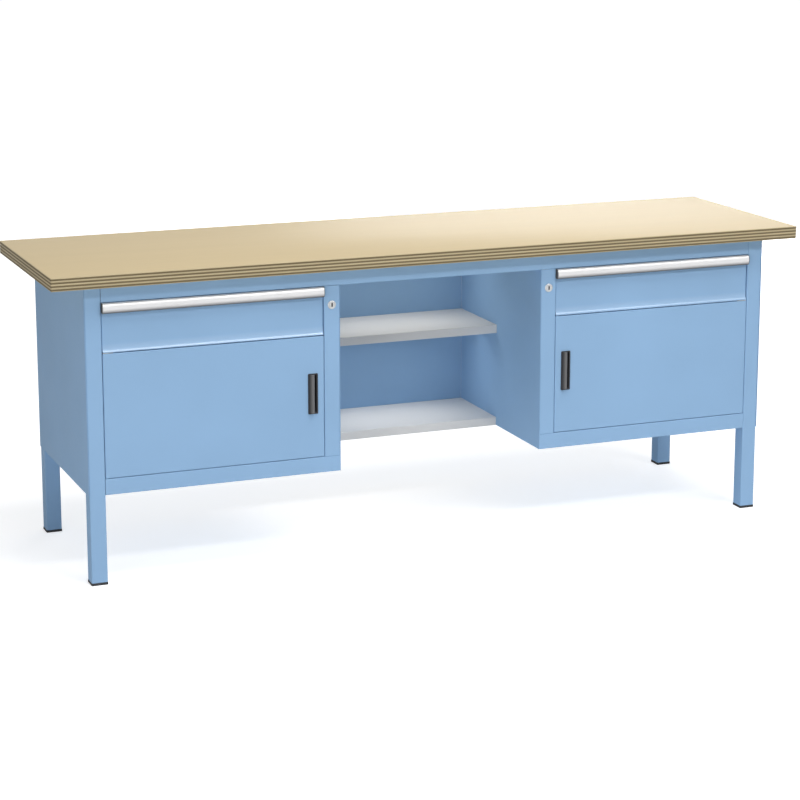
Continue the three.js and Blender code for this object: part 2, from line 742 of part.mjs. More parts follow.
function lockCore(prefix) {
  const r = LOCK_CORE_RADIUS;
  const edge = LOCK_PLAY;
  const yFace = yFront - LOCK_PROUD - edge;
  const plug = turned(
    [[0, yFace], [r - edge, yFace], [r, yFace + edge], [r, yCrank + edge], [0, yCrank + edge]],
    lockX, lockZ,
  );
  const arm = extrude(
    rectangle(
      lockZ - CRANK - CRANK_WIDTH / 2, lockX - CRANK_WIDTH / 2,
      lockZ + CRANK_WIDTH / 2, lockX + CRANK_WIDTH / 2, CRANK_WIDTH / 3,
    ),
    "y", yCrank, yCrank + CRANK_THICKNESS,
  );
  const pin = lyingRod(
    lockX, lockZ - CRANK, yCrank + CRANK_THICKNESS / 2, yBar + BAR_THICKNESS + SHEET,
    CRANK_PIN_RADIUS,
  );
  const keyway = block(
    [lockX - KEYWAY_WIDTH / 2, yFace - edge, lockZ - KEYWAY_HEIGHT / 2],
    [lockX + KEYWAY_WIDTH / 2, yFace + KEYWAY_DEPTH, lockZ + KEYWAY_HEIGHT / 2],
  );
  return named(
    `${prefix}_lock_core`, shaped(plug, { join: [arm, pin], cut: [keyway] }), chrome,
  );
}

// The bar moves sideways in step with the crank's angle, and the crank pin runs ahead of it by
// up to this much on the way, so the pin's slot is wider on the stile's open side.
const leadAngle = Math.acos(2 / Math.PI);
const crankLead = CRANK * (Math.sin(leadAngle) - (leadAngle * 2) / Math.PI);

function lockBar(prefix) {
  const x0 = lockX - BAR_FRONT_SIDE;
  const x1 = lockX + BAR_BACK_SIDE;
  const tip = stileIn + BOLT_PLAY;
  const half = BOLT_HEIGHT / 2;
  const section = outline([
    [zOpenLow + BAR_ABOVE_RAIL, x1], [zOpenLow + BAR_ABOVE_RAIL, x0],
    [doorBoltZ - half, x0], [doorBoltZ - half, tip], [doorBoltZ + half, tip],
    [doorBoltZ + half, x0], [drawerBoltZ - half, x0], [drawerBoltZ - half, tip],
    [drawerBoltZ + half, tip], [drawerBoltZ + half, x0],
    [lockZ + BAR_ABOVE_LOCK, x0], [lockZ + BAR_ABOVE_LOCK, x1],
  ]);
  const room = CRANK_PIN_RADIUS + LOCK_PLAY;
  section.holes.push(
    rectangle(
      lockZ - CRANK - room, lockX - room - crankLead, lockZ + room, lockX + room, 0, THREE.Path,
    ),
  );
  return named(
    `${prefix}_lock_bar`, extrude(section, "y", yBar, yBar + BAR_THICKNESS), zincSteel,
  );
}

// One pedestal, drawn as the left one. The right one is its mirror image, apart from the door
// pull, which is the same moulding turned the same way on both doors.
function pedestal(prefix, sign) {
  const group = new THREE.Group();
  group.add(
    ...pedestalWalls(prefix),
    bottomRail(prefix),
    lockStile(prefix),
    divider(prefix),
    upperPivot(prefix),
    magnetCatch(prefix),
    fixedSlide(`${prefix}_slide_fixed_outer`, outerWall, 1),
    bracketedSlide(`${prefix}_slide_fixed_inner`, innerWall, -1),
    middleSlide(`${prefix}_slide_middle_outer`, outerWall, 1),
    middleSlide(`${prefix}_slide_middle_inner`, innerWall, -1),
    drawerSlide(`${prefix}_drawer_slide_outer`, outerWall, 1),
    drawerSlide(`${prefix}_drawer_slide_inner`, innerWall, -1),
    drawerBox(prefix),
    drawerFront(prefix),
    handleStrip(prefix),
    doorPanel(prefix),
    doorPull(prefix, sign),
    lockHousing(prefix),
    lockCore(prefix),
    lockBar(prefix),
  );
  group.position.x = -sign * bodyHalf;
  group.scale.x = sign;
  return group;
}

// The bench: legs and feet at the four corners, then everything that joins them.
const bench = new THREE.Group();
bench.add(
  worktop,
  topRail("front_top_rail", yFront, yFront + TOP_RAIL_DEPTH),
  topRail("rear_top_rail", yBack, yBack - TOP_RAIL_DEPTH),
  bayBack,
  bayShelf("bay_shelf_upper", zBase + UPPER_SHELF_RISE),
  bayShelf("bay_shelf_lower", zBase + SHELF_LIP),
  pedestal("left", 1),
  pedestal("right", -1),
);

const legX = bodyHalf - legIn - LEG_SIZE / 2;
const legRows = { front: yFront + LEG_SIZE / 2, rear: yBack - LEG_SIZE / 2 };
for (const [row, y] of Object.entries(legRows)) {
  for (const [sideName, x] of Object.entries({ left: -legX, right: legX })) {
    const leg = named(`leg_${row}_${sideName}`, legGeometry(), bluePaint);
    const foot = named(`foot_${row}_${sideName}`, footGeometry(), blackPlastic);
    leg.position.set(x, y, 0);
    foot.position.set(x, y, 0);
    bench.add(leg, foot);
  }
}

export default bench;
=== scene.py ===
"""Workshop bench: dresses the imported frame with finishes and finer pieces, in a plain studio."""
import json
import math

import bpy
import numpy as np
from bpy.props import FloatProperty, FloatVectorProperty, IntProperty, PointerProperty
from bpy.types import Operator, Panel, PropertyGroup
from mathutils import Euler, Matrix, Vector


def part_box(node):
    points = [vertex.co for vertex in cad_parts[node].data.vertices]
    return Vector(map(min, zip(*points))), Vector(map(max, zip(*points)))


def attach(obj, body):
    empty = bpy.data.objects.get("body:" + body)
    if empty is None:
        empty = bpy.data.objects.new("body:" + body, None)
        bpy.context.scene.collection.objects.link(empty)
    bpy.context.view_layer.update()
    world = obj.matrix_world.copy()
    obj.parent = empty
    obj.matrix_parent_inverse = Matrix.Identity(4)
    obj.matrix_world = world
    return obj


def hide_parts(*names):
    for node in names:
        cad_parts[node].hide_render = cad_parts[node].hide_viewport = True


bl_info = {
    "name": "Workshop bench",
    "version": (1, 0, 0),
    "blender": (4, 5, 0),
    "location": "View3D > Sidebar > Bench",
    "description": "Dresses the packed frame of a workshop bench and sets a plain studio round it",
    "category": "Object",
}

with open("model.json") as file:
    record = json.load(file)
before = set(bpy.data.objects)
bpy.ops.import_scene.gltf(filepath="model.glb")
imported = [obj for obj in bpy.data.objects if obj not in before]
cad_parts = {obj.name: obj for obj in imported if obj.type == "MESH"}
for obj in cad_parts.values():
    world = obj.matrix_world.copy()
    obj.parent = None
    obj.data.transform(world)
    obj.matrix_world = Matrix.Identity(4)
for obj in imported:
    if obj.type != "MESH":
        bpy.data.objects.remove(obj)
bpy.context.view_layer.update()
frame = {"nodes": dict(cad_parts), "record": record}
SIDES = ("left", "right")


def length(name, description, default):
    """A property for a size in metres."""
    return FloatProperty(
        name=name, description=description, default=default, min=0.0, unit="LENGTH", precision=5
    )


def colour(name, description, default):
    """A property for a paint or material colour, in linear values."""
    return FloatVectorProperty(
        name=name, description=description, default=default, subtype="COLOR", size=3,
        min=0.0, max=1.0,
    )


def share(name, description, default):
    """A property for a share or a level."""
    return FloatProperty(
        name=name, description=description, default=default, min=0.0, subtype="FACTOR"
    )


def power(name, description, default):
    """A property for the power of a lamp in watts."""
    return FloatProperty(
        name=name, description=description, default=default, min=0.0, unit="POWER"
    )


class BenchSizes(PropertyGroup):
    """Sizes of the pieces that this file adds to the frame."""

    plies: IntProperty(
        name="Plies", description="Veneers in the worktop, the outer two at half thickness",
        default=9, min=3,
    )
    board_edge: length("Board edge", "Radius that eases the worktop's edges", 0.002)
    board_corner: length("Board corner", "Radius of the worktop's corners in plan", 0.004)
    glue_groove: length("Glue line", "Depth of the fine line between two plies", 0.00015)
    sheet_edge: length("Sheet edge", "Width of the painted edge on cut sheet metal", 0.0005)
    rubbed_height: length("Rubbed height", "Reach of the gloss up from a drawer's lower edge", 0.03)
    strip_wall: length("Strip wall", "Wall of the extruded handle strip", 0.0024)
    strip_cap: length("Strip cap", "Thickness of the cap on each end of a handle strip", 0.0016)
    pull_rim: length("Pull rim", "Width of the door pull's rim beside its cup", 0.0025)
    pull_corner: length("Pull corner", "Radius of the door pull's corners", 0.003)
    pull_flange: length("Pull flange", "Thickness of the door pull's flange", 0.0025)
    pull_wall: length("Pull wall", "Moulded wall of the door pull", 0.002)
    hood_width: length("Hood width", "Width of the pull's half-round hood", 0.0183)
    hood_rise: length("Hood rise", "Height of the hood over the pull's flange", 0.007)
    bezel_groove: length("Bezel groove", "Depth of the ring groove in the lock bezel", 0.0006)
    shutter_width: length("Shutter width", "Width of the dark shutter round a key slot", 0.0046)
    shutter_height: length("Shutter height", "Height of the dark shutter round a key slot", 0.0132)
    shutter_rise: length("Shutter rise", "How far the shutter stands out of the lock core", 0.0004)
    back_fold: length("Back fold", "Depth of the folds along the edges of the back panels", 0.014)
    back_sheet: length("Back sheet", "Thickness of those folds", 0.0008)
    rivet_radius: length("Rivet radius", "Radius of the rivet heads in the drawer trays", 0.0032)


class BenchFinishes(PropertyGroup):
    """Colours and gloss of the bench's materials."""

    blue: colour("Blue paint", "Powder coat of the body, doors and drawers", (0.29, 0.465, 0.69))
    grey: colour("Grey paint", "Powder coat of the shelves and drawer trays", (0.745, 0.745, 0.74))
    paint_roughness: share("Paint roughness", "Roughness of the satin powder coat", 0.46)
    veneer: colour("Veneer", "Face veneers of the worktop", (0.67, 0.525, 0.305))
    edge_ply: colour("Long plies", "Inner plies with grain along the board", (0.48, 0.4, 0.246))
    core: colour("Cross plies", "Cross plies, seen as end grain", (0.165, 0.13, 0.075))
    glue: colour("Glue", "Glue lines between the plies", (0.16, 0.12, 0.075))
    aluminium: colour("Aluminium", "Anodised handle strips", (0.8, 0.8, 0.81))
    black: colour(
        "Black plastic", "Feet, catches, shutters and the rims of the pulls", (0.008, 0.008, 0.009)
    )
    hood: colour("Grey plastic", "Hoods of the pulls and caps of the strips", (0.115, 0.116, 0.119))
    zinc: colour("Zinc", "Slides, pivot plates and bolt bars", (0.5, 0.52, 0.54))
    nickel: colour("Nickel", "Lock bezels and cores", (0.68, 0.685, 0.69))


class BenchStudio(PropertyGroup):
    """Camera, floor and light."""

    place: FloatVectorProperty(
        name="Camera", description="Where the camera stands", default=(-2.7356, -6.8105, 2.208),
        subtype="TRANSLATION", unit="LENGTH", size=3,
    )
    yaw: FloatProperty(
        name="Yaw", description="Turn of the view towards +X", default=math.radians(21.75),
        subtype="ANGLE",
    )
    pitch: FloatProperty(
        name="Pitch", description="Tilt of the view below the horizon", default=math.radians(11.81),
        subtype="ANGLE",
    )
    lens: FloatProperty(
        name="Lens", description="Focal length in millimetres", default=103.4, min=1.0
    )
    shift: FloatProperty(name="Shift", description="Vertical shift of the picture", default=-0.1)
    ambient: share("Ambient", "Level of the even light from all round", 0.28)
    key: power("Key", "Soft lamp high in front on the right", 140.0)
    fill: power("Fill", "Wide lamp low in front on the left", 80.0)
    overhead: power("Overhead", "Wide lamp over the front of the worktop", 160.0)
    rear: power("Rear", "Wide lamp low behind the bench on the right", 120.0)
    bay_upper: power("Upper bay", "Small lamp over the upper shelf of the bay", 0.55)
    bay_lower: power("Lower bay", "Small lamp over the lower shelf of the bay", 0.4)
    floor: share("Floor", "Share of the light on the floor that it sends back", 0.8)
    gleam: share("Gleam", "Share of the floor's glow that shows in glossy surfaces", 0.4)
    near_glow: share("Near glow", "White added to the floor's own light round the bench", 0.64)
    far_glow: share("Far glow", "White added to the floor's own light far from the bench", 0.79)


def grid_faces(rows, columns, wrap_rows=False):
    """Quads between neighbouring points of a grid whose rows are closed rings."""
    bands = rows if wrap_rows else rows - 1
    r, c = np.meshgrid(np.arange(bands), np.arange(columns), indexing="ij")
    below, beside = (r + 1) % rows, (c + 1) % columns
    corners = (r * columns + c, r * columns + beside, below * columns + beside, below * columns + c)
    return np.stack(corners, -1).reshape(-1, 4)


def shell(grid, wrap_rows=False):
    """A closed shell over a grid of points whose rows are closed rings. The first and last ring are
    capped, or joined to each other where wrap_rows says so. The sign of the enclosed volume, which
    is the sum of a . (b x c) over the faces, tells whether the faces have to be turned round."""
    rows, columns = grid.shape[:2]
    points = grid.reshape(-1, 3)
    quads = grid_faces(rows, columns, wrap_rows)
    ends = np.zeros((0, columns), int)
    if not wrap_rows:
        first = np.arange(columns)
        ends = np.stack([first[::-1], first + (rows - 1) * columns])
    a, b, c, d = (points[quads[:, i]] for i in range(4))
    volume = np.sum(a * (np.cross(b, c) + np.cross(c, d)))
    rings = points[ends]
    volume += np.sum(rings[:, :1] * np.cross(rings, np.roll(rings, -1, axis=1)))
    if volume < 0:
        quads, ends = quads[:, ::-1], ends[:, ::-1]
    return points, [quads, ends]


def build(name, shells, finish, body, stands_for=(), sharp=35.0):
    """One object made of closed shells, shaded smooth except over edges sharper than that angle."""
    starts = np.cumsum([0] + [len(points) for points, _ in shells])
    faces = [
        face
        for start, (_, groups) in zip(starts, shells)
        for group in groups
        for face in (group + start).tolist()
    ]
    mesh = bpy.data.meshes.new(name)
    mesh.from_pydata(np.concatenate([points for points, _ in shells]), [], faces)
    mesh.shade_smooth()
    mesh.set_sharp_from_angle(angle=math.radians(sharp))
    mesh.materials.append(finish)
    piece = bpy.data.objects.new(name, mesh)
    bpy.context.scene.collection.objects.link(piece)
    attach(piece, body)
    if stands_for:
        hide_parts(*stands_for)
    return piece


def rounded_ring(half_a, half_b, radius, steps=5):
    """A rounded rectangle about the origin: a quarter circle about each of four centres."""
    quarter = np.linspace(0, math.pi / 2, steps + 1)
    turn = quarter + np.arange(4)[:, None] * math.pi / 2
    across = np.array([1, -1, -1, 1])[:, None] * (half_a - radius) + radius * np.cos(turn)
    along = np.array([1, 1, -1, -1])[:, None] * (half_b - radius) + radius * np.sin(turn)
    return np.stack([across, along], -1).reshape(-1, 2)


def level_ring(half_a, half_b, radius, height):
    """A rounded rectangle about the origin, with all its points at one height."""
    ring = rounded_ring(half_a, half_b, radius)
    return np.column_stack([ring, np.full(len(ring), height)])


def stacked_rings(half_a, half_b, corner, profile, least=0.0004):
    """Rings of a rounded rectangle, one for each [inset, height] of the profile. The corner's
    radius shrinks with the inset, down to the least radius."""
    rings = [
        level_ring(half_a - inset, half_b - inset, max(corner - inset, least), height)
        for inset, height in profile
    ]
    return np.stack(rings)


def quarter_round(radius, steps=4):
    """[inset, drop] points of a quarter circle that eases an edge, from the face to the side."""
    turn = np.linspace(0, math.pi / 2, steps + 1)
    return np.column_stack([radius * (1 - np.sin(turn)), radius * (1 - np.cos(turn))])


def bezier(start, control, end, steps):
    """A quadratic curve: the two straight legs through the control point, blended by t."""
    t = np.linspace(0, 1, steps + 1)[:, None]
    start, control, end = np.array(start), np.array(control), np.array(end)
    return (1 - t) ** 2 * start + 2 * t * (1 - t) * control + t**2 * end


def along_x(section, stations):
    """A section of (y, z) points carried along x."""
    rings = [np.column_stack([np.full(len(section), x), section]) for x in stations]
    return np.stack(rings)


def along_z(section, stations):
    """A section of (x, y) points carried along z."""
    return np.stack([np.column_stack([section, np.full(len(section), z)]) for z in stations])


def turned_about_y(profile, x, z, steps=56):
    """A profile of [radius, y] points carried round an axis along y through (x, z)."""
    turn = np.linspace(0, 2 * math.pi, steps, endpoint=False)
    radius, y = np.array(profile).T[:, :, None]
    grid = [x + radius * np.cos(turn), y + 0 * turn, z + radius * np.sin(turn)]
    return np.stack(grid, -1)


def domes(places, axis, radius, height, steps=10, rings=3, rim=0.3):
    """Round heads at several places: a quarter ellipse turned about the axis, on a straight rim
    that takes up that share of the height."""
    axis = np.array(axis, float)
    side = np.roll(axis, 1)
    other = np.cross(axis, side)
    rise = np.linspace(0, math.pi / 2, rings + 1)[:-1]
    crown = np.column_stack([np.cos(rise), rim + (1 - rim) * np.sin(rise)])
    profile = np.concatenate([[[1.0, 0.0]], crown])
    turn = np.linspace(0, 2 * math.pi, steps, endpoint=False)[:, None]
    spoke = np.cos(turn) * side + np.sin(turn) * other
    head = radius * profile[:, :1, None] * spoke + height * profile[:, 1:, None] * axis
    return [shell(head + np.array(place)) for place in places]


class Wire:
    """A shader socket. Arithmetic on it adds Math nodes, and add() puts in any other node."""

    def __init__(self, tree, socket=None):
        self.tree, self.socket = tree, socket

    def add(self, kind, settings=None, inputs=None, out=0):
        """Add a node of that type: its settings first, then values or links for its sockets."""
        node = self.tree.nodes.new("ShaderNode" + kind)
        for name, value in (settings or {}).items():
            setattr(node, name, value)
        for name, value in (inputs or {}).items():
            if isinstance(value, Wire):
                self.tree.links.new(value.socket, node.inputs[name])
            else:
                node.inputs[name].default_value = value
        return Wire(self.tree, node.outputs[out] if len(node.outputs) else None)

    def math(self, operation, *values):
        """Add a Math node of that operation."""
        return self.add("Math", {"operation": operation}, dict(enumerate(values)))

    def __add__(self, other):
        return self.math("ADD", self, other)

    def __sub__(self, other):
        return self.math("SUBTRACT", self, other)

    def __rsub__(self, other):
        return self.math("SUBTRACT", other, self)

    def __mul__(self, other):
        return self.math("MULTIPLY", self, other)

    def __mod__(self, other):
        return self.math("MODULO", self, other)

    def __abs__(self):
        return self.math("ABSOLUTE", self)

    __radd__, __rmul__ = __add__, __mul__

    def between(self, low, high):
        """0 below low, 1 above high and a smooth step from one to the other."""
        limits = {"Value": self, "From Min": low, "From Max": high}
        return self.add("MapRange", {"interpolation_type": "SMOOTHSTEP"}, limits)

    def stretched(self, x, y, z):
        """A vector with each of its parts multiplied."""
        return self.add("VectorMath", {"operation": "MULTIPLY"}, {0: self, 1: (x, y, z)})

    def axis(self, name):
        """One part of a vector: X, Y or Z."""
        return self.add("SeparateXYZ", {}, {0: self}, out=name)

    def noise(self, scale, detail=2.0, roughness=0.5, distortion=0.0):
        """Smooth noise over a vector, from 0 to 1."""
        values = {"Vector": self, "Scale": scale, "Detail": detail, "Roughness": roughness,
                  "Distortion": distortion}
        return self.add("TexNoise", {}, values)

    def blend(self, first, second):
        """The first colour where this value is 0, the second where it is 1."""
        return self.add("Mix", {"data_type": "RGBA"}, {0: self, 6: first, 7: second}, out=2)


def tint(colour_value, level=1.0):
    """A colour as four values, lighter or darker by the level."""
    return (*(min(1.0, part * level) for part in colour_value), 1.0)


class Finish:
    """A new material with one principled shader, and the place on the object for its patterns."""

    def __init__(self, name, **constants):
        self.material = bpy.data.materials.new(name)
        self.material.use_nodes = True
        self.tree = self.material.node_tree
        self.shader = next(n for n in self.tree.nodes if n.type == "BSDF_PRINCIPLED")
        for socket, value in constants.items():
            self.shader.inputs[socket.replace("_", " ")].default_value = value
        self.place = Wire(self.tree).add("TexCoord", out="Object")

    def feed(self, socket, wire):
        """Link a value or colour to a socket of the shader."""
        self.tree.links.new(wire.socket, self.shader.inputs[socket])

    def bump(self, height, strength, distance):
        """Turn heights into a bump on the shader's normal."""
        values = {"Height": height, "Strength": strength, "Distance": distance}
        self.feed("Normal", height.add("Bump", {}, values, out="Normal"))


# Spread of the roughness over smudged paint and over grained plastic
SMUDGING = 0.16
GRAINING = 0.14
# In plies: where a glue line starts and is full, from the middle of a ply, and how sharply the face
# veneers end
GLUE_BAND = (0.44, 0.495)
VENEER_BAND = 0.02


def powder_coat(name, paint, roughness, rubbed=None):
    """Satin powder coat: fine orange peel, a slow drift of tone and faint smudges in the gloss.
    Where a pair of heights is given, hands have rubbed the paint glossy up to the first, and the
    gloss fades out towards the second."""
    coat = Finish(name, Specular_IOR_Level=0.04, Coat_Weight=0.0, Coat_Roughness=0.3, Coat_IOR=1.7)
    drift = coat.place.noise(scale=2.6, detail=2.0)
    smudge = coat.place.noise(scale=11.0, detail=4.0, roughness=0.6, distortion=0.8)
    peel = coat.place.noise(scale=780.0, detail=1.5)
    grain = coat.place.noise(scale=2400.0, detail=1.0)
    tone = drift * 0.7 + grain * 0.3
    coat.feed("Base Color", tone.between(0.25, 0.75).blend(tint(paint, 0.955), tint(paint, 1.045)))
    coat.feed("Roughness", smudge * SMUDGING + (roughness - SMUDGING / 2))
    coat.bump(peel, strength=0.22, distance=0.0004)
    if rubbed:
        coat.feed("Coat Weight", 1.0 - coat.place.axis("Z").between(*rubbed))
    return coat.material


def plywood(name, finishes, low, high, plies):
    """Oiled plywood. Plies are counted up the board's height, half a ply for each face veneer, and
    every second one is a cross ply. The face veneers are paler than the plies between them. Streaks
    run along x, pores speckle the cross plies, and a thin glue line shows where two plies meet."""
    board = Finish(name, Specular_IOR_Level=0.12)
    level = (board.place.axis("Z") - low) * ((plies - 1) / (high - low)) + 0.5
    ply = level.math("FLOOR", level)
    cross = ply % 2.0
    seam = abs(level - ply - 0.5).between(*GLUE_BAND)
    ply_tone = ply.add("TexWhiteNoise", {"noise_dimensions": "1D"}, {"W": ply * 3.7 + 1.3})
    broad = board.place.stretched(1.1, 17.0, 17.0).noise(scale=1.0, detail=3.0, distortion=0.9)
    streak = board.place.stretched(5.0, 150.0, 150.0).noise(scale=1.0, detail=4.0, roughness=0.62)
    fibre = board.place.stretched(28.0, 1300.0, 1300.0).noise(scale=1.0, detail=2.0)
    pore = board.place.noise(scale=1500.0, detail=2.0)
    face_tone = (broad * 0.45 + streak * 0.35 + fibre * 0.2).between(0.3, 0.7)
    face = face_tone.blend(tint(finishes.veneer, 0.965), tint(finishes.veneer, 1.03))
    inner = (streak * 0.6 + ply_tone * 0.4).between(0.2, 0.8)
    inner = inner.blend(tint(finishes.edge_ply, 0.92), tint(finishes.edge_ply, 1.08))
    veneer = (plies - 1) / 2
    outermost = abs(level - plies / 2).between(veneer - VENEER_BAND, veneer + VENEER_BAND)
    core_tone = (pore * 0.55 + streak * 0.2 + ply_tone * 0.25).between(0.25, 0.75)
    core = core_tone.blend(tint(finishes.core, 0.72), tint(finishes.core, 1.3))
    wood = cross.blend(outermost.blend(inner, face), core)
    board.feed("Base Color", (seam * 0.6).blend(wood, tint(finishes.glue)))
    board.feed("Roughness", streak * 0.18 + cross * 0.12 + 0.42)
    board.bump(fibre * 0.5 + pore * cross * 0.8, strength=0.25, distance=0.0003)
    return board.material


def anodised(name, metal, shaded_heights):
    """Clear anodised aluminium: fine drawing lines along x over a satin metal. Painted shade
    darkens its colour from the second of two heights down to the first, where it is darkest."""
    strip = Finish(name, Metallic=0.55, Specular_IOR_Level=0.5)
    lines = strip.place.stretched(6.0, 2600.0, 2600.0).noise(scale=1.0, detail=2.0)
    cloud = strip.place.stretched(4.0, 30.0, 30.0).noise(scale=1.0, detail=2.0)
    tone = (lines * 0.6 + cloud * 0.4).between(0.3, 0.7)
    own_tone = tone.blend(tint(metal, 0.97), tint(metal, 1.05))
    # Painted shade: the colour is darkest at the strip's lower edge and reaches the metal's own
    # tone halfway up
    clean = strip.place.axis("Z").between(*shaded_heights)
    strip.feed("Base Color", clean.blend(tint(metal, 0.15), own_tone))
    strip.feed("Roughness", lines * 0.12 + 0.36)
    strip.bump(lines, strength=0.15, distance=0.0001)
    return strip.material


def mould_grain(skin):
    """The spark-eroded grain of moulded plastic, and a tone from it and the flow in the mould."""
    grain = skin.place.noise(scale=1700.0, detail=2.0)
    flow = skin.place.stretched(40.0, 40.0, 9.0).noise(scale=1.0, detail=2.0)
    return grain, (grain * 0.6 + flow * 0.4).between(0.3, 0.7)


def moulded(name, plastic, roughness):
    """Moulded plastic: a spark-eroded grain, with the tone a little lighter on its high points."""
    skin = Finish(name, Specular_IOR_Level=0.2)
    grain, tone = mould_grain(skin)
    skin.feed("Base Color", tone.blend(tint(plastic, 0.85), tint(plastic, 1.2)))
    skin.feed("Roughness", grain * GRAINING + (roughness - GRAINING / 2))
    skin.bump(grain, strength=0.3, distance=0.0002)
    return skin.material


def hood_with_painted_highlight(name, plastic, roughness, crown, half):
    """Moulded plastic as above, with a painted highlight in a band along the crown of a pull's hood
    and painted shade, a third of the plastic's colour, to each side of that band.
    """
    hood = Finish(name, Specular_IOR_Level=0.3)
    grain, tone = mould_grain(hood)
    # Painted highlight in the band and painted shade beside it, where the colour drops to a third
    # of the plastic's
    away = abs(hood.place.axis("X") - crown).between(0.1 * half, 1.25 * half)
    highlight_band = tone.blend(tint(plastic, 1.1), tint(plastic, 1.4))
    hood.feed("Base Color", away.blend(highlight_band, tint(plastic, 0.3)))
    hood.feed("Roughness", grain * GRAINING + away * 0.1 + (roughness - GRAINING / 2))
    hood.bump(grain, strength=0.3, distance=0.0002)
    return hood.material


def zinc_plate(name, metal):
    """Bright zinc on rolled strip: cells of slightly different tone and long rolling marks."""
    plate = Finish(name, Metallic=0.9, Specular_IOR_Level=0.5)
    cells = plate.place.add("TexVoronoi", {}, {"Vector": plate.place, "Scale": 210.0}, out="Color")
    cell_tone = cells.add("RGBToBW", {}, {0: cells})
    marks = plate.place.stretched(700.0, 9.0, 700.0).noise(scale=1.0, detail=2.0)
    tone = (cell_tone * 0.5 + marks * 0.5).between(0.2, 0.8)
    plate.feed("Base Color", tone.blend(tint(metal, 0.85), tint(metal, 1.12)))
    plate.feed("Roughness", marks * 0.16 + 0.3)
    plate.bump(marks, strength=0.12, distance=0.0001)
    return plate.material


def nickel_plate(name, metal):
    """Nickel on turned metal: fine turning marks as a bump and small changes of tone."""
    plate = Finish(name, Metallic=1.0)
    marks = plate.place.noise(scale=3200.0, detail=1.0)
    cloud = plate.place.noise(scale=160.0, detail=3.0)
    tone = (marks * 0.4 + cloud * 0.6).between(0.3, 0.7)
    plate.feed("Base Color", tone.blend(tint(metal, 0.9), tint(metal, 1.06)))
    plate.feed("Roughness", cloud * 0.14 + 0.3)
    plate.bump(marks, strength=0.1, distance=0.0001)
    return plate.material


def finish_named(name, maker, *values):
    """The material of that name, made the first time it is asked for."""
    return bpy.data.materials.get(name) or maker(name, *values)


# Roughness of the black plastic parts and of the satin hoods of the pulls
PLASTIC_ROUGHNESS = 0.45
HOOD_ROUGHNESS = 0.42


def blue_coat(finishes):
    """The paint of the body, the doors and the folds of the back panels."""
    return finish_named("blue_coat", powder_coat, finishes.blue, finishes.paint_roughness)


def black_plastic(finishes):
    """The plastic of the feet, the catches, the key shutters and the cups of the pulls. The black
    of the key shutters stands in for the shade in the keyholes.
    """
    return finish_named("black_plastic", moulded, finishes.black, PLASTIC_ROUGHNESS)


def zinc_finish(finishes):
    """The plate of the slides, pivots, bolt bars and fasteners."""
    return finish_named("zinc_plate", zinc_plate, finishes.zinc)


# Distance in metres within which loose points are joined, and the least angle of an edge to bevel
JOIN_REACH = 1e-5
BEVEL_ANGLE = math.radians(50)


def dress(nodes, finish, edge=0.0):
    """Give CAD nodes a material and, where edge isn't 0, a narrow bevel on their sharp edges. The
    loose points of a node are joined before the bevel, and any that meet are joined after it."""
    for node in nodes:
        piece = frame["nodes"][node]
        piece.data.materials.clear()
        piece.data.materials.append(finish)
        if edge:
            weld = piece.modifiers.new("Weld", "WELD")
            weld.merge_threshold = JOIN_REACH
            bevel = piece.modifiers.new("Bevel", "BEVEL")
            bevel.width, bevel.segments = edge, 2
            bevel.limit_method, bevel.angle_limit = "ANGLE", BEVEL_ANGLE
            clean = piece.modifiers.new("Clean", "WELD")
            clean.merge_threshold = JOIN_REACH


def slot_nodes(slot):
    """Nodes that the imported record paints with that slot."""
    return [row["node"] for row in frame["record"]["subparts"] if row["material_slot"] == slot]


class BENCH_OT_worktop(Operator):
    """Build the plywood board: an edge profile with glue lines, carried round its outline"""

    bl_idname = "bench.worktop"
    bl_label = "Worktop"

    def execute(self, context):
        sizes, finishes = context.scene.bench_sizes, context.scene.bench_finishes
        low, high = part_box("worktop")
        half = (high - low) / 2
        ease = quarter_round(sizes.board_edge)
        top = np.column_stack([ease[:, 0], high.z - ease[:, 1]])
        bottom = np.column_stack([ease[::-1, 0], low.z + ease[::-1, 1]])
        step = (high.z - low.z) / (sizes.plies - 1)
        seams = high.z - step * (np.arange(sizes.plies - 1) + 0.5)
        width = 2 * sizes.glue_groove
        groove = np.array([[0, width], [sizes.glue_groove, 0], [0, -width]])
        lines = (groove + np.column_stack([0 * seams, seams])[:, None]).reshape(-1, 2)
        profile = np.concatenate([top, lines, bottom])
        rings = stacked_rings(half.x, half.y, sizes.board_corner, profile)
        finish = finish_named("worktop_plywood", plywood, finishes, low.z, high.z, sizes.plies)
        build("worktop_board", [shell(rings)], finish, "bench", ["worktop"])
        return {"FINISHED"}


class BENCH_OT_sheet_metal(Operator):
    """Paint the folded sheet metal and ease its cut edges"""

    bl_idname = "bench.sheet_metal"
    bl_label = "Sheet metal"

    def execute(self, context):
        sizes, finishes = context.scene.bench_sizes, context.scene.bench_finishes
        edge, rough = sizes.sheet_edge, finishes.paint_roughness
        grey = finish_named("grey_coat", powder_coat, finishes.grey, rough)
        dress(slot_nodes("blue_paint"), blue_coat(finishes), edge)
        dress(slot_nodes("grey_paint"), grey, edge)
        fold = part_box("left_drawer_front")[0].z
        rubbed = (fold + sizes.rubbed_height / 2, fold + sizes.rubbed_height)
        front = finish_named("drawer_coat", powder_coat, finishes.blue, rough, rubbed)
        for side in SIDES:
            frame["nodes"][f"{side}_drawer_front"].data.materials[0] = front
        return {"FINISHED"}


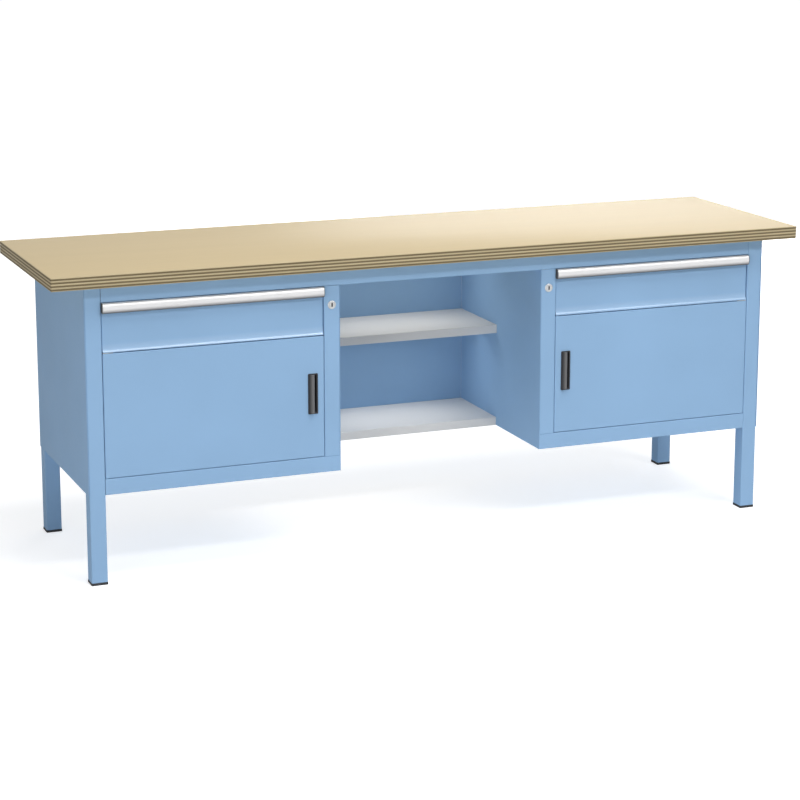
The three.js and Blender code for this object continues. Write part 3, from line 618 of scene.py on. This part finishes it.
class BENCH_OT_back_folds(Operator):
    """Fold the back panels inwards along the rear rail and legs, where they close the seams"""

    bl_idname = "bench.back_folds"
    bl_label = "Back folds"

    def execute(self, context):
        sizes, finishes = context.scene.bench_sizes, context.scene.bench_finishes
        paint = blue_coat(finishes)
        half, thick = sizes.back_fold / 2, sizes.back_sheet
        lying = rounded_ring(half, thick / 2, thick / 3)
        for panel in ("bay_back_panel", "left_back", "right_back"):
            low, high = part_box(panel)
            section = lying + np.array([low.y - half, high.z - thick / 2])
            folds = [shell(along_x(section, (low.x, high.x)))]
            if panel != "bay_back_panel":
                edge = low.x + thick / 2 if panel == "left_back" else high.x - thick / 2
                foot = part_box(panel.replace("back", "floor"))[1].z + thick
                section = lying[:, ::-1] + np.array([edge, low.y - half])
                folds.append(shell(along_z(section, (foot, high.z - 2 * thick))))
            build(f"{panel}_folds", folds, paint, "bench")
        return {"FINISHED"}


# The handle strip's section: where its flat roof ends and how far its lip draws in, as shares of
# its depth, and how far down the bow stands upright and the curl turns, as shares of its height
ROOF_SHARE, LIP_SHARE = 0.4, 0.36
BOW_SHARE, CURL_SHARE = 0.46, 0.86
# Steps round the half circle at the lip
LIP_STEPS = 6


def strip_section(low, high, wall):
    """The handle strip's centre line in (y, z): up the back leg, along the roof, then two curves
    that bow out and draw in again to the lip. The wall is half its thickness to each side of that
    line, and a half circle closes the lip. The lines along both sides are given as well."""
    half, height, depth = wall / 2, high.z - low.z, high.y - low.y
    back, roof, lip = high.y - half, high.z - half, low.y + half
    bend, bow, curl = 2 * wall, roof - BOW_SHARE * height, roof - CURL_SHARE * height
    line = np.concatenate([
        [[back, low.z + wall]],
        bezier((back, roof - bend), (back, roof), (back - bend, roof), steps=6),
        bezier((back - ROOF_SHARE * depth, roof), (lip, roof), (lip, bow), steps=16),
        bezier((lip, bow), (lip, curl), (lip + LIP_SHARE * depth, low.z + half), steps=16)[1:],
    ])
    along = np.gradient(line, axis=0)
    along /= np.linalg.norm(along, axis=1)[:, None]
    normal = np.column_stack([-along[:, 1], along[:, 0]]) * half
    turn = np.linspace(0, math.pi, LIP_STEPS + 1)[1:-1, None]
    tip = line[-1] + np.cos(turn) * normal[-1] + np.sin(turn) * along[-1] * half
    return np.concatenate([line + normal, tip, (line - normal)[::-1]]), line - normal, line + normal


class BENCH_OT_handle_strips(Operator):
    """Build the extruded handle strips of the drawers and the plastic caps on their ends"""

    bl_idname = "bench.handle_strips"
    bl_label = "Handle strips"

    def execute(self, context):
        sizes, finishes = context.scene.bench_sizes, context.scene.bench_finishes
        low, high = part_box("left_drawer_handle")
        # Heights of the painted shade on the strips' lower half, darkest at their lower edge
        shaded_heights = (low.z, (low.z + high.z) / 2)
        metal = finish_named("anodised_strip", anodised, finishes.aluminium, shaded_heights)
        plastic = finish_named("cap_plastic", moulded, finishes.hood, PLASTIC_ROUGHNESS)
        for side in SIDES:
            low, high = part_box(f"{side}_drawer_handle")
            section, first, second = strip_section(low, high, sizes.strip_wall)
            cap = sizes.strip_cap
            strip = shell(along_x(section, (low.x + cap, high.x - cap)))
            build(f"{side}_handle_strip", [strip], metal, f"{side}_drawer",
                  [f"{side}_drawer_handle"])
            outline = first if np.ptp(first[:, 0]) > np.ptp(second[:, 0]) else second
            ends = [(low.x, low.x + cap), (high.x - cap, high.x)]
            build(f"{side}_strip_caps", [shell(along_x(outline, end)) for end in ends], plastic,
                  f"{side}_drawer")
        return {"FINISHED"}


# The door pull: the rounding of its rim as a share of the flange, how deep its hood is sunk into
# the flange in metres, how far the band of painted highlight lies off the hood's middle as a share
# of its half width, and where the hollow between the hood's end walls starts as a share of their
# thickness
RIM_SHARE = 0.35
HOOD_SINK = 0.0002
HIGHLIGHT_SHARE = 0.35
END_SHARE = 1.1


def arch(centre, half, rise, base, steps=20):
    """Half an ellipse over a base line: x and y go with the cosine and sine of one angle."""
    turn = np.linspace(math.pi, 0, steps + 1)
    return np.column_stack([centre + half * np.cos(turn), base - rise * np.sin(turn)])


class BENCH_OT_door_pulls(Operator):
    """Build the moulded door pulls: a rim and cup of stacked rings, and a half-round hood"""

    bl_idname = "bench.door_pulls"
    bl_label = "Door pulls"

    def execute(self, context):
        sizes, finishes = context.scene.bench_sizes, context.scene.bench_finishes
        black = black_plastic(finishes)
        for side in SIDES:
            low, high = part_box(f"{side}_door_pull")
            centre, half = (low + high) / 2, (high - low) / 2
            front = low.y + sizes.hood_rise
            seat = front + sizes.pull_flange
            ease = quarter_round(sizes.pull_flange * RIM_SHARE)
            rim, inner = sizes.pull_rim, sizes.pull_rim + sizes.pull_wall
            profile = np.concatenate([
                [[inner, high.y - sizes.pull_wall]],
                np.column_stack([inner - ease[::-1, 0], front + ease[::-1, 1]]),
                np.column_stack([ease[:, 0], front + ease[:, 1]]),
                [[0, seat], [rim, seat], [rim, high.y]],
            ])
            rings = stacked_rings(half.x, half.z, sizes.pull_corner, profile)
            cup = rings[:, :, [0, 2, 1]] + np.array([centre.x, 0, centre.z])
            build(f"{side}_pull_cup", [shell(cup)], black, f"{side}_door",
                  [f"{side}_door_pull"])
            wall, reach = sizes.pull_wall, half.z - rim - sizes.pull_wall / 2
            hood_half = sizes.hood_width / 2
            middle = low.x + rim + hood_half
            base = front + HOOD_SINK
            rise = base - low.y
            highlight_band = middle + HIGHLIGHT_SHARE * hood_half
            satin = finish_named(
                f"{side}_hood_plastic", hood_with_painted_highlight, finishes.hood, HOOD_ROUGHNESS, highlight_band, hood_half
            )
            outer = arch(middle, hood_half, rise, base)
            inside = arch(middle, hood_half - wall, rise - wall, base)[::-1]
            hollow = np.concatenate([outer, inside])
            bottom = np.column_stack([inside[:, 0], np.full(len(inside), base)])
            solid = np.concatenate([outer, bottom])
            end, lining = reach - wall, reach - END_SHARE * wall
            hood = np.concatenate([
                along_z(solid, (centre.z - reach, centre.z - end)),
                along_z(hollow, (centre.z - lining, centre.z + lining)),
                along_z(solid, (centre.z + end, centre.z + reach)),
            ])
            build(f"{side}_pull_hood", [shell(hood)], satin, f"{side}_door")
        return {"FINISHED"}


# Radii of the lock bezel as shares of its outer radius: the ring groove from lip to lip, the start
# of the domed edge and the barrel behind it
GROOVE_SHARES = (0.7, 0.72, 0.76, 0.78)
DOME_SHARE = 0.8
BARREL_SHARE = 0.74
# Points along the domed edge
DOME_POINTS = 8
# In metres: play round the lock core, chamfer of its bore, gap behind the shutter, the key slot's
# half width and half height, the chamfer of slot and shutter, and the slot's depth, end wall and
# floor
CORE_PLAY = 0.0003
BORE_CHAMFER = 0.0004
SHUTTER_SEAT = 0.00002
KEY_WIDE, KEY_TALL = 0.0008, 0.0042
KEY_CHAMFER = 0.0003
KEY_DEPTH, KEY_END, KEY_FLOOR = 0.003, 0.0001, 0.0004
# Corner radius of slot and shutter as a share of their half width
KEY_ROUND = 0.9


class BENCH_OT_locks(Operator):
    """Turn the lock bezels, set a black shutter in each key slot, whose black stands in for the
    keyhole's shade, and give the lock cores their finish
    """

    bl_idname = "bench.locks"
    bl_label = "Locks"

    def execute(self, context):
        sizes, finishes = context.scene.bench_sizes, context.scene.bench_finishes
        nickel = finish_named("nickel_plate", nickel_plate, finishes.nickel)
        black = black_plastic(finishes)
        for side in SIDES:
            low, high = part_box(f"{side}_lock_housing")
            core_low, core_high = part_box(f"{side}_lock_core")
            x, z = (low.x + high.x) / 2, (low.z + high.z) / 2
            outer, face = (high.x - low.x) / 2, low.y
            bore = (core_high.x - core_low.x) / 2 + CORE_PLAY
            barrel, inner = BARREL_SHARE * outer, DOME_SHARE * outer
            edge = outer - inner
            seat, bed = face + edge, face + sizes.bezel_groove
            turn = np.linspace(0, math.pi / 2, DOME_POINTS)
            dome = np.column_stack([inner + edge * np.sin(turn), seat - edge * np.cos(turn)])
            groove = np.column_stack([np.array(GROOVE_SHARES) * outer, [face, bed, bed, face]])
            profile = np.concatenate([
                [[bore, face + BORE_CHAMFER], [bore + BORE_CHAMFER, face]], groove, dome,
                [[barrel, seat], [barrel, high.y], [bore, high.y]],
            ])
            bezel = shell(turned_about_y(profile, x, z), wrap_rows=True)
            build(f"{side}_lock_bezel", [bezel], nickel, "bench",
                  [f"{side}_lock_housing"])
            # A black plate larger than the key slot: a shutter whose black stands in for the
            # keyhole's shade
            wide, tall = sizes.shutter_width / 2, sizes.shutter_height / 2
            plate = core_low.y - SHUTTER_SEAT
            crest, middle = plate - sizes.shutter_rise, plate - sizes.shutter_rise / 2
            sleeve_wide, sleeve_tall = KEY_WIDE + KEY_CHAMFER, KEY_TALL + KEY_END
            rows = (
                (KEY_WIDE, KEY_TALL, plate + KEY_DEPTH), (KEY_WIDE, KEY_TALL, middle),
                (KEY_WIDE + KEY_CHAMFER, KEY_TALL + KEY_CHAMFER, crest),
                (wide - KEY_CHAMFER, tall - KEY_CHAMFER, crest),
                (wide, tall, middle), (wide, tall, plate),
                (sleeve_wide, sleeve_tall, plate),
                (sleeve_wide, sleeve_tall, plate + KEY_DEPTH + KEY_FLOOR),
            )
            rings = [level_ring(a, b, KEY_ROUND * min(a, b), y)[:, [0, 2, 1]] for a, b, y in rows]
            shutter = np.stack(rings) + np.array([x, 0, z])
            build(f"{side}_key_shutter", [shell(shutter)], black, f"{side}_lock")
        dress([f"{side}_lock_core" for side in SIDES], nickel)
        return {"FINISHED"}


class BENCH_OT_mechanisms(Operator):
    """Give the slides, pivots, bolt bars, catches and feet their finish"""

    bl_idname = "bench.mechanisms"
    bl_label = "Mechanisms and feet"

    def execute(self, context):
        finishes, edge = context.scene.bench_finishes, context.scene.bench_sizes.sheet_edge
        dress(slot_nodes("zinc_steel"), zinc_finish(finishes), edge / 2)
        kept = [node for node in slot_nodes("black_plastic") if not node.endswith("door_pull")]
        dress(kept, black_plastic(finishes), edge)
        return {"FINISHED"}


# In metres: height of the rivet heads, the tray wall that they stand on and the distance of the end
# rivets from the ends of a slide
RIVET_RISE, TRAY_WALL, RIVET_INSET = 0.0014, 0.0015, 0.06
RIVETS = 4
# In metres: height of the pivot screws and their distances from the plate's ends and rear edge.
# Their radius is a multiple of the rivets'
SCREW_RISE, SCREW_START, SCREW_END, SCREW_REAR = 0.0016, 0.012, 0.008, 0.012
SCREW_SCALE = 1.2
# Angle in degrees below which the edges of a head are shaded smooth
HEAD_ANGLE = 60.0


class BENCH_OT_fasteners(Operator):
    """Build the rivets that hold the trays to their slides and the screws of the pivot plates"""

    bl_idname = "bench.fasteners"
    bl_label = "Fasteners"

    def execute(self, context):
        sizes, finishes = context.scene.bench_sizes, context.scene.bench_finishes
        zinc = zinc_finish(finishes)
        radius = sizes.rivet_radius
        for side in SIDES:
            heads = []
            for member, facing in (("outer", 1), ("inner", -1)):
                facing = facing if side == "left" else -facing
                low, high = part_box(f"{side}_drawer_slide_{member}")
                x = (high.x if facing > 0 else low.x) + facing * TRAY_WALL
                rows = np.linspace(low.y + RIVET_INSET, high.y - RIVET_INSET, RIVETS)
                places = [(x, y, (low.z + high.z) / 2) for y in rows]
                heads += domes(places, (facing, 0, 0), radius, RIVET_RISE)
            build(f"{side}_tray_rivets", heads, zinc, f"{side}_drawer",
                  sharp=HEAD_ANGLE)
            low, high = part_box(f"{side}_upper_pivot")
            rows = (low.x + SCREW_START, high.x - SCREW_END)
            places = [(x, high.y - SCREW_REAR, high.z) for x in rows]
            screws = domes(places, (0, 0, 1), radius * SCREW_SCALE, SCREW_RISE)
            build(f"{side}_pivot_screws", screws, zinc, "bench", sharp=HEAD_ANGLE)
        return {"FINISHED"}


def aim(thing, place, target):
    """Put a lamp at a place and turn it towards a point."""
    thing.location = place
    thing.rotation_euler = (Vector(target) - Vector(place)).to_track_quat("-Z", "Y").to_euler()


def straight_rays(start, gleam=1.0):
    """1 for rays from the camera or through glass, the gleam for rays off gloss, 0 for others."""
    camera = start.add("LightPath", out="Is Camera Ray")
    outputs = camera.socket.node.outputs
    glossy = Wire(start.tree, outputs["Is Glossy Ray"])
    through = Wire(start.tree, outputs["Is Transmission Ray"])
    return camera.math("MAXIMUM", camera.math("MAXIMUM", camera, glossy * gleam), through)


# In metres: reach of the floor to each side of the bench, and the distances from the bench between
# which the floor's glow changes
FLOOR_REACH = 60.0
GLOW_DISTANCES = (2.0, 9.0)
# Width of the camera's sensor in millimetres
SENSOR = 36.0
# Name, place, target, width and height of each lamp in metres, and its beam's spread in degrees
LAMPS = (
    ("key", (2.4, -4.7, 4.8), (2.4, 0.0, 0.55), 4.8, 0.8, 180.0),
    ("fill", (-4.6, -4.6, 0.9), (0.0, 0.0, 0.45), 3.6, 1.6, 180.0),
    ("overhead", (0.2, -1.6, 5.4), (0.0, 0.0, 0.55), 4.0, 2.0, 180.0),
    ("rear", (3.2, 5.2, 0.9), (0.0, 0.0, 0.55), 3.6, 1.2, 180.0),
    ("bay_upper", (0.0, 0.15, 0.9), (0.0, 0.12, 0.5), 0.66, 0.28, 130.0),
    ("bay_lower", (0.0, 0.15, 0.58), (0.0, 0.12, 0.18), 0.66, 0.28, 130.0),
)


class BENCH_OT_studio(Operator):
    """Set the floor, the light from all round, the soft lamps and the camera"""

    bl_idname = "bench.studio"
    bl_label = "Studio"

    def execute(self, context):
        scene, studio = context.scene, context.scene.bench_studio
        scene.view_settings.view_transform = "Standard"
        mesh = bpy.data.meshes.new("studio_floor")
        corners = np.array([[-1, -1, 0], [1, -1, 0], [1, 1, 0], [-1, 1, 0]]) * FLOOR_REACH
        mesh.from_pydata(corners, [], [(0, 1, 2, 3)])
        floor = bpy.data.objects.new("studio_floor", mesh)
        scene.collection.objects.link(floor)
        white = bpy.data.materials.new("floor_white")
        white.use_nodes = True
        tree = white.node_tree
        tree.nodes.clear()
        start = Wire(tree)
        lit = start.add("BsdfDiffuse", {}, {"Color": tint((studio.floor,) * 3)})
        seen = straight_rays(start, studio.gleam)
        place = start.add("TexCoord", out="Object")
        distance = place.add("VectorMath", {"operation": "LENGTH"}, {0: place}, out="Value")
        away = distance.between(*GLOW_DISTANCES)
        level = away * (studio.far_glow - studio.near_glow) + studio.near_glow
        glow = start.add("Emission", {}, {"Strength": seen * level})
        both = start.add("AddShader", {}, {0: lit, 1: glow})
        start.add("OutputMaterial", {}, {"Surface": both})
        mesh.materials.append(white)

        world = bpy.data.worlds.new("studio_light")
        world.use_nodes = True
        scene.world = world
        world.node_tree.nodes.clear()
        start = Wire(world.node_tree)
        seen = straight_rays(start)
        level = seen * (1.0 - studio.ambient) + studio.ambient
        sky = start.add("Background", {}, {"Color": (1, 1, 1, 1), "Strength": level})
        start.add("OutputWorld", {}, {"Surface": sky})

        for name, place, target, width, height, spread in LAMPS:
            lamp = bpy.data.lights.new(name, "AREA")
            lamp.shape, lamp.size, lamp.size_y = "ELLIPSE", width, height
            lamp.energy = getattr(studio, name)
            lamp.spread = math.radians(spread)
            holder = bpy.data.objects.new(name, lamp)
            scene.collection.objects.link(holder)
            aim(holder, place, target)

        lens = bpy.data.cameras.new("camera")
        lens.lens, lens.sensor_width, lens.shift_y = studio.lens, SENSOR, studio.shift
        camera = bpy.data.objects.new("camera", lens)
        camera.location = studio.place
        camera.rotation_euler = Euler((math.pi / 2 - studio.pitch, 0.0, -studio.yaw))
        scene.collection.objects.link(camera)
        scene.camera = camera
        return {"FINISHED"}


PIECES = (
    BENCH_OT_worktop, BENCH_OT_sheet_metal, BENCH_OT_back_folds, BENCH_OT_handle_strips,
    BENCH_OT_door_pulls, BENCH_OT_locks, BENCH_OT_mechanisms, BENCH_OT_fasteners, BENCH_OT_studio,
)


class BENCH_PT_panel(Panel):
    """Lists the bench's pieces and its stage in the sidebar"""

    bl_label = "Workshop bench"
    bl_space_type = "VIEW_3D"
    bl_region_type = "UI"
    bl_category = "Bench"

    def draw(self, context):
        for piece in PIECES:
            self.layout.operator(piece.bl_idname)
        for group in (getattr(context.scene, name) for name in GROUPS):
            for name in group.bl_rna.properties.keys():
                if name not in ("rna_type", "name"):
                    self.layout.prop(group, name)


GROUPS = {"bench_sizes": BenchSizes, "bench_finishes": BenchFinishes, "bench_studio": BenchStudio}
CLASSES = (*GROUPS.values(), *PIECES, BENCH_PT_panel)


def register():
    """Make the classes known and hang the groups of properties on the scene."""
    for kind in CLASSES:
        bpy.utils.register_class(kind)
    for name, group in GROUPS.items():
        setattr(bpy.types.Scene, name, PointerProperty(type=group))


def unregister():
    """Undo what register does, in the reverse order."""
    for name in GROUPS:
        delattr(bpy.types.Scene, name)
    for kind in reversed(CLASSES):
        bpy.utils.unregister_class(kind)


def main():
    """Register the classes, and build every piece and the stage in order."""
    register()
    bpy.ops.bench.worktop()
    bpy.ops.bench.sheet_metal()
    bpy.ops.bench.back_folds()
    bpy.ops.bench.handle_strips()
    bpy.ops.bench.door_pulls()
    bpy.ops.bench.locks()
    bpy.ops.bench.mechanisms()
    bpy.ops.bench.fasteners()
    bpy.ops.bench.studio()


if __name__ == "__main__":
    main()
